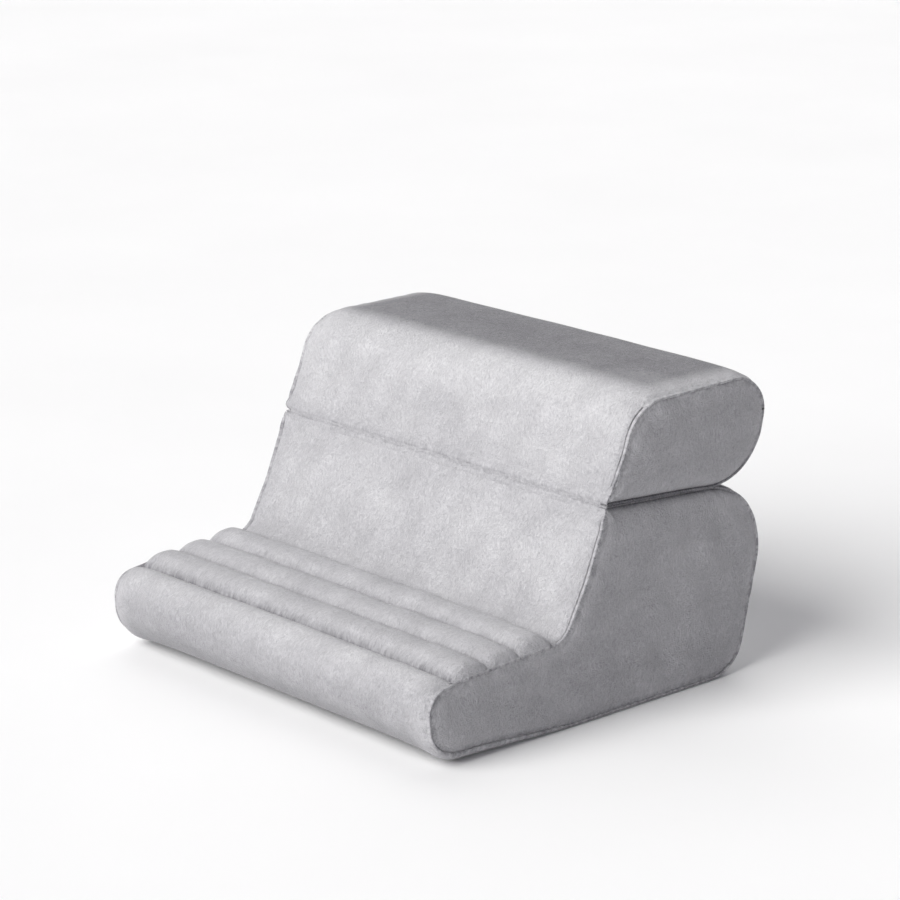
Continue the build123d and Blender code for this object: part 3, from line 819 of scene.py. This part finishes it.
def velvet():
    """Short-pile grey velvet: fine brushed dashes, faint mottling, brushed patches, puckered seams, and
    painted shade and highlight from the mesh.
    """
    surface = Surface("velvet", roughness=0.9, specular=0.1, sheen=0.25)
    cloth = surface.attribute("cloth_co", "Vector")
    seam = surface.attribute("seam", "Fac")
    dashes = surface.noise(surface.mapped(cloth, (880, 400, 400), (0, 0, 0.12)), 1.0, 2.5, 1.1)
    curls = surface.noise(surface.mapped(cloth, (640, 560, 640), (0, 0, 0.6)), 1.0, 2.0, 2.4)
    mottle = surface.noise(surface.mapped(cloth, (1, 1, 1)), 90.0, 3.0, 0.8)
    patches = surface.noise(surface.mapped(cloth, (1, 1.6, 1), (0, 0, 0.5)), 20.0, 2.5, 0.5)
    puckers = surface.noise(cloth, 330.0, 1.0, 0.4)
    pile = surface.noise(cloth, 2800.0, 1.0)
    tone = surface.levels(dashes, 0.3, 0.7, -0.075, 0.075)
    for value, size in ((curls, 0.05), (mottle, 0.022), (patches, 0.035), (pile, 0.03)):
        tone = surface.math("ADD", tone, surface.levels(value, 0.3, 0.7, -size, size))
    # painted shade and highlight, read from the mesh's attribute
    tone = surface.math("ADD", tone, surface.attribute("painted_shading", "Fac"))
    stitched = surface.math("MULTIPLY", seam, surface.levels(puckers, 0.38, 0.6, 0.0, 0.2))
    tone = surface.math("SUBTRACT", tone, stitched)
    colour = surface.ramp(
        surface.math("ADD", tone, 0.5),
        [(0.0, (0.082, 0.08, 0.094)), (0.5, (0.445, 0.44, 0.462)), (1.0, (0.86, 0.858, 0.87))],
    )
    height = surface.weighted((dashes, 0.7), (curls, 0.75), (mottle, 0.3), (pile, 0.18))
    pinched = surface.math("MULTIPLY", seam, surface.math("MULTIPLY", puckers, 1.6))
    height = surface.math("ADD", height, pinched)
    return surface.done(colour, surface.bump(height, 0.9, 0.0011))


def foam_material():
    """Cream cut foam with open pores."""
    surface = Surface("foam", roughness=0.95, specular=0.1)
    where = surface.place()
    pores = surface.cells(where, 900.0)
    stain = surface.noise(where, 30.0, 3.0)
    tone = surface.weighted((pores, 0.5), (stain, 0.5))
    colour = surface.ramp(tone, [(0.2, (0.55, 0.53, 0.44)), (0.7, (0.84, 0.83, 0.76))])
    return surface.done(colour, surface.bump(pores, 0.6, 0.0006))


def wadding_material():
    """White fibres that run along the roll."""
    surface = Surface("wadding", roughness=0.95, specular=0.1, sheen=0.2)
    where = surface.place()
    fibres = surface.noise(surface.mapped(where, (120, 1500, 1500)), 1.0, 4.0, 1.2)
    colour = surface.ramp(fibres, [(0.3, (0.7, 0.7, 0.7)), (0.7, (0.93, 0.93, 0.92))])
    return surface.done(colour, surface.bump(fibres, 0.7, 0.0008))


def silicone_material():
    """Dull dark silicone with a little dust."""
    surface = Surface("silicone", roughness=0.55, specular=0.4)
    where = surface.place()
    grain = surface.noise(where, 1800.0, 2.0)
    dust = surface.noise(where, 45.0, 4.0)
    colour = surface.ramp(dust, [(0.3, (0.055, 0.055, 0.06)), (0.75, (0.11, 0.11, 0.12))])
    return surface.done(colour, surface.bump(grain, 0.35, 0.0003))


def zip_tape_material():
    """Dark woven tape."""
    surface = Surface("zip_tape", roughness=0.85, specular=0.2)
    where = surface.place()
    warp = surface.wave(where, 420.0, "X", 0.4)
    weft = surface.wave(where, 420.0, "Z", 0.4)
    weave = surface.math("MULTIPLY", warp, weft)
    wear = surface.noise(where, 120.0, 3.0)
    tone = surface.weighted((weave, 0.5), (wear, 0.5))
    colour = surface.ramp(tone, [(0.15, (0.13, 0.13, 0.14)), (0.8, (0.3, 0.3, 0.32))])
    return surface.done(colour, surface.bump(weave, 0.6, 0.0003))


def zip_teeth_material():
    """Moulded dark plastic."""
    surface = Surface("zip_teeth", roughness=0.4, specular=0.5)
    where = surface.place()
    moulded = surface.noise(where, 700.0, 3.0)
    colour = surface.ramp(moulded, [(0.3, (0.16, 0.16, 0.17)), (0.7, (0.25, 0.25, 0.265))])
    return surface.done(colour, surface.bump(moulded, 0.25, 0.0002))


def zip_metal_material():
    """Dark brushed metal, rougher where it is worn."""
    surface = Surface("zip_metal", roughness=0.32, specular=0.5, metallic=1.0)
    where = surface.place()
    brushed = surface.noise(surface.mapped(where, (150, 3000, 3000)), 1.0, 3.0)
    worn = surface.noise(where, 160.0, 4.0)
    roughness = surface.levels(worn, 0.35, 0.75, 0.36, 0.5)
    surface.link(roughness, surface.shader.inputs["Roughness"])
    colour = surface.ramp(worn, [(0.35, (0.2, 0.2, 0.21)), (0.7, (0.31, 0.31, 0.32))])
    return surface.done(colour, surface.bump(brushed, 0.2, 0.0001))


def pale_material(name, glow):
    """Floor and wall of the studio, which glow a little so that they stay pale."""
    surface = Surface(name, roughness=0.7, specular=0.1)
    where = surface.place()
    grain = surface.noise(where, 4.0, 3.0)
    colour = surface.ramp(grain, [(0.3, (0.86, 0.86, 0.865)), (0.7, (0.88, 0.88, 0.885))])
    surface.shader.inputs["Emission Color"].default_value = (1, 1, 1, 1)
    surface.shader.inputs["Emission Strength"].default_value = glow
    return surface.done(colour, surface.bump(grain, 0.02, 0.001))


VELVET = velvet()
FOAM = foam_material()
WADDING = wadding_material()
SILICONE = silicone_material()
ZIP_TAPE = zip_tape_material()
ZIP_TEETH = zip_teeth_material()
ZIP_METAL = zip_metal_material()


def coat(piece, material):
    """Gives a piece its only material."""
    piece.data.materials.clear()
    piece.data.materials.append(material)


def stand_in(piece, material, node, body):
    """Lets a padded piece take a soft CAD node's place on its body."""
    coat(piece, material)
    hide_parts(node)
    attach(piece, body)


# ---- the covers

def zip_side(zip_s, other, coarse):
    """Stations from another seam to the zip, fine where the slot's edge folds down."""
    way = 1 if other > zip_s else -1
    fold = ZIP_SLOT + np.array([-0.2, 0.1, 0.35, 0.6])
    edge = zip_s + way * np.concatenate([[0, 1.8], fold, [4.5]])
    if way > 0:
        return joined(edge, graded(edge[-1], other, 0.8, coarse, 12))
    return joined(graded(other, edge[-1], 0.8, coarse, 12), edge[::-1])


channel = [graded(grooves[k + 1], grooves[k], 0.22, 1.35, 5) for k in range(len(ROLL_CRESTS))]
lower_runs = [
    ("base_panel", graded(lower_s["lip"], lower_s["base"], 0.9, 5, 16)),
    ("lower_back_foot_panel", zip_side(lower_s["zip"], lower_s["base"], 2.2)),
    ("lower_back_panel", zip_side(lower_s["zip"], lower_s["top"], 2.2)),
    ("lower_top_panel", graded(lower_s["top"], lower_s["hinge"], 0.8, 3.2, 12)),
    ("slope_panel", graded(lower_s["hinge"], lower_s["rear_groove"], 0.6, 2.0, 12)),
    ("channel_panel", joined(*channel[::-1])),
    ("front_lip_panel", graded(lower_s["front_groove"], LOWER.total + lower_s["lip"], 0.5, 1.8, 12)),
]
upper_runs = [
    ("upper_bottom_panel", graded(upper_s["hinge"], upper_s["bottom"], 0.7, 3.0, 12)),
    ("upper_back_foot_panel", zip_side(upper_s["zip"], upper_s["bottom"], 2.2)),
    ("upper_wrap_panel", joined(
        zip_side(upper_s["zip"], upper_s["back"], 2.0),
        np.linspace(upper_s["back"], upper_s["end"] - 20, 90),
        graded(upper_s["end"] - 20, upper_s["end"] + upper_s["hinge"], 0.6, 1.8, 8),
    )),
]


def cover(block, runs, body, step):
    """All sewn panels of one block's cover, in place of the CAD panels of the same names."""
    for number, (node, stations) in enumerate(runs):
        piece = wrap_panel(block, node + "_velvet", stations, step, 40.0 * number)
        stand_in(piece, VELVET, node, body)
    loop = joined(*[stations for _, stations in runs])[:-1]
    loop = loop[np.concatenate([[True], np.diff(loop) > 0.4])]
    for side, name in ((-1, "left"), (1, "right")):
        node = f"{block.name}_side_panel_{name}"
        piece = side_panel(block, node + "_velvet", loop, SIDE_STEP, side, 700.0 + 40.0 * side)
        stand_in(piece, VELVET, node, body)


cover(lower, lower_runs, "lower_block", ACROSS_STEP)
cover(upper, upper_runs, "upper_block", ACROSS_STEP)


# ---- foam and fillings

def inset_corners(corners, amount):
    """Outline corners moved inwards by amount, with their radii cut down to suit."""
    moved = []
    for p, radius, _, middle, angle, side in corner_shapes(corners):
        moved.append((p + side * middle * amount / math.sin(angle / 2), max(2.0, radius - side * amount)))
    return moved


def prism(name, sections):
    """A closed tube through rings of as many points each, its ends closed by fans."""
    rings, size = len(sections), len(sections[0])
    vertices = np.vstack(sections)
    faces = []
    for i in range(rings - 1):
        for j in range(size):
            k = (j + 1) % size
            faces.append([i * size + j, i * size + k, (i + 1) * size + k, (i + 1) * size + j])
    for ring, way in ((0, 1), (rings - 1, -1)):
        centre = len(vertices)
        vertices = np.vstack([vertices, sections[ring].mean(axis=0)])
        for j in range(size):
            pair = [ring * size + (j + 1) % size, ring * size + j]
            faces.append([centre, *pair[::way]])
    return make_mesh(name, vertices, faces)


def foam_core(corners, node, body):
    """Cut foam inside the cover, eased at its ends."""
    sections = []
    for x in np.linspace(-1, 1, 41):
        end = HALF - FOAM_INSET
        ease = 5.0 * (1 - math.sqrt(1 - max(0.0, (abs(x) * end - end + 6) / 6) ** 2))
        ring = rounded(inset_corners(corners, FOAM_INSET + ease), 3.0)
        sections.append(np.column_stack([np.full(len(ring), x * end), ring]))
    count = min(len(ring) for ring in sections)
    even = []
    for ring in sections:
        closed = np.vstack([ring, ring[:1]])
        length = np.concatenate([[0], np.cumsum(np.linalg.norm(np.diff(closed, axis=0), axis=1))])
        at = np.linspace(0, length[-1], count + 1)[:-1]
        even.append(np.stack([np.interp(at, length, closed[:, k]) for k in range(3)], axis=1))
    stand_in(prism(node + "_foam", even), FOAM, node, body)


foam_core(LOWER_OUTLINE, "lower_foam_core", "lower_block")
foam_core(UPPER_OUTLINE, "upper_foam_core", "upper_block")


def roll_filling(k, node):
    """Rolled wadding that fills one channel."""
    high, low = grooves[k], grooves[k + 1]
    middle, reach = (high + low) / 2, (high - low) / 2 - 2.6
    sections = []
    for x in np.linspace(-(HALF - 8), HALF - 8, 60):
        end = min(1.0, (HALF - 8 - abs(x)) / 8 + 0.35)
        angle = np.linspace(0, 2 * math.pi, 37)[:-1]
        t = np.cos(angle)
        points, normals = LOWER.at(middle + reach * t * end)
        swell = (ROLL_CRESTS[k] - 1.9) * end + 0.25 * ripple(x, angle, 31, 20.0 + k)
        h = np.where(np.sin(angle) > 0, swell * np.sqrt(np.clip(1 - t**2, 0, 1)), np.sin(angle) * 0.8) - 2.6
        sections.append(np.column_stack([np.full(len(t), x), points + normals * h[:, None]]))
    stand_in(prism(node + "_wadding", sections), WADDING, node, "lower_block")


for k, node in enumerate(("front_roll_filling", "middle_roll_filling", "rear_roll_filling")):
    roll_filling(k, node)


# ---- fabric hinge

def hinge_fabric():
    """The strip along which the two covers are joined, folded into a shallow valley."""
    slope_way = np.array(slope_foot()) - np.array(LOWER_CORNER)
    slope_way /= np.linalg.norm(slope_way)
    face_way = np.array([FACE_RUN, 1.0]) / math.hypot(FACE_RUN, 1)
    inward = np.array([math.sin(VALLEY_TILT), -math.cos(VALLEY_TILT)])
    x = x_stations(ACROSS_STEP)
    x = x[np.abs(x) < HALF - 4.5]
    rows = []
    places = np.array([-6.5, -5.0, -3.8, -2.8, -1.9, -1.1, -0.4, 0.0, 0.4, 1.1, 1.9, 2.8, 3.8, 5.0, 6.5])
    for t in places:
        way = slope_way * -t if t < 0 else face_way * t
        valley = 1.5 * np.exp(-abs(t) / 1.3) - 0.35 + 0.05 * t * t
        pucker = 0.22 * ripple(x, t, 8.5, 31.0) * math.exp(-abs(t) / 3)
        point = HINGE + way
        depth = valley + pucker
        rows.append(np.column_stack([x, point[0] + inward[0] * depth, point[1] + inward[1] * depth]))
    faces = grid_faces(len(places), len(x))
    points = np.vstack(rows)
    across, along = np.meshgrid(x, places)
    cloth = np.stack([across, along, np.full(across.shape, 900.0)], axis=-1).reshape(-1, 3)
    seam = np.exp(-np.abs(along) / 1.4).reshape(-1)
    if vertex_normals(points, faces)[:, 1].mean() > 0:
        faces = [list(reversed(f)) for f in faces]
    vertices, closed = closed_sheet(points, faces, 0.8)
    piece = make_mesh("hinge_fabric", vertices, closed, np.vstack([cloth, cloth]), np.tile(seam, 2) * 0.6)
    coat(piece, VELVET)
    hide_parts("hinge_seam_bead")
    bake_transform(piece)


hinge_fabric()


# ---- CAD pieces that stay in view

CAD_LOOKS = {
    "grip_sheet": SILICONE,
    "zip_tape_top": ZIP_TAPE,
    "zip_tape_bottom": ZIP_TAPE,
    "zip_teeth": ZIP_TEETH,
    "zip_stops": ZIP_METAL,
    "zip_slider": ZIP_METAL,
    "zip_pull": ZIP_METAL,
}
for node, piece in frame["nodes"].items():
    for ending, material in CAD_LOOKS.items():
        if node.endswith(ending):
            coat(piece, material)


# ---- floor, light and camera

def studio_floor():
    """A pale sheet of floor, far wider than the view."""
    spots = np.linspace(-FLOOR_REACH, FLOOR_REACH, 9)
    y, x = np.meshgrid(spots, spots, indexing="ij")
    vertices = np.stack([x, y, np.full(x.shape, -0.05)], axis=-1).reshape(-1, 3)
    piece = make_mesh("studio_floor", vertices, grid_faces(9, 9))
    piece.data.materials.append(pale_material("studio_floor", FLOOR_GLOW))


def studio_wall():
    """A low pale wall round the floor, so that a low view doesn't look past the floor's edge."""
    turn = np.linspace(0, 2 * math.pi, WALL_SIDES + 1)
    rows = [np.column_stack([FLOOR_REACH * np.sin(turn), FLOOR_REACH * np.cos(turn), np.full(len(turn), z)])
            for z in (-1.0, WALL_HEIGHT)]
    piece = make_mesh("studio_wall", np.vstack(rows), grid_faces(2, len(turn)))
    piece.data.materials.append(pale_material("studio_wall", WALL_GLOW))


def far_light(name, azimuth, elevation, softness, strength):
    """Even light from far away. Azimuth 0 comes from the front and 90 from the right."""
    light = bpy.data.lights.new(name, "SUN")
    light.energy = strength
    light.angle = math.radians(softness)
    light.color = SUN_TINT
    lamp = bpy.data.objects.new(name, light)
    around, above = math.radians(azimuth), math.radians(elevation)
    flat = math.cos(above)
    source = Vector((math.sin(around) * flat, -math.cos(around) * flat, math.sin(above)))
    lamp.rotation_euler = (-source).to_track_quat("-Z", "Y").to_euler()
    bpy.context.scene.collection.objects.link(lamp)


def daylight(strength):
    """Faint even light from the whole sky."""
    world = bpy.data.worlds.new("studio")
    world.use_nodes = True
    background = world.node_tree.nodes["Background"]
    background.inputs["Color"].default_value = SKY_TINT
    background.inputs["Strength"].default_value = strength
    bpy.context.scene.world = world


def camera(position, target, lens):
    """The photograph's camera."""
    data = bpy.data.cameras.new("camera")
    data.lens = lens
    data.sensor_width = 36.0
    data.clip_end = 50.0
    seer = bpy.data.objects.new("camera", data)
    seer.location = position
    seer.rotation_euler = (Vector(target) - Vector(position)).to_track_quat("-Z", "Y").to_euler()
    bpy.context.scene.collection.objects.link(seer)
    bpy.context.scene.camera = seer


studio_floor()
studio_wall()
daylight(0.11)
far_light("key", -7, 38, 50, 3.8)
far_light("back_fill", 232, 48, 60, 1.0)
camera(CAMERA_PLACE, CAMERA_TARGET, CAMERA_LENS)
bpy.context.scene.view_settings.view_transform = "Standard"
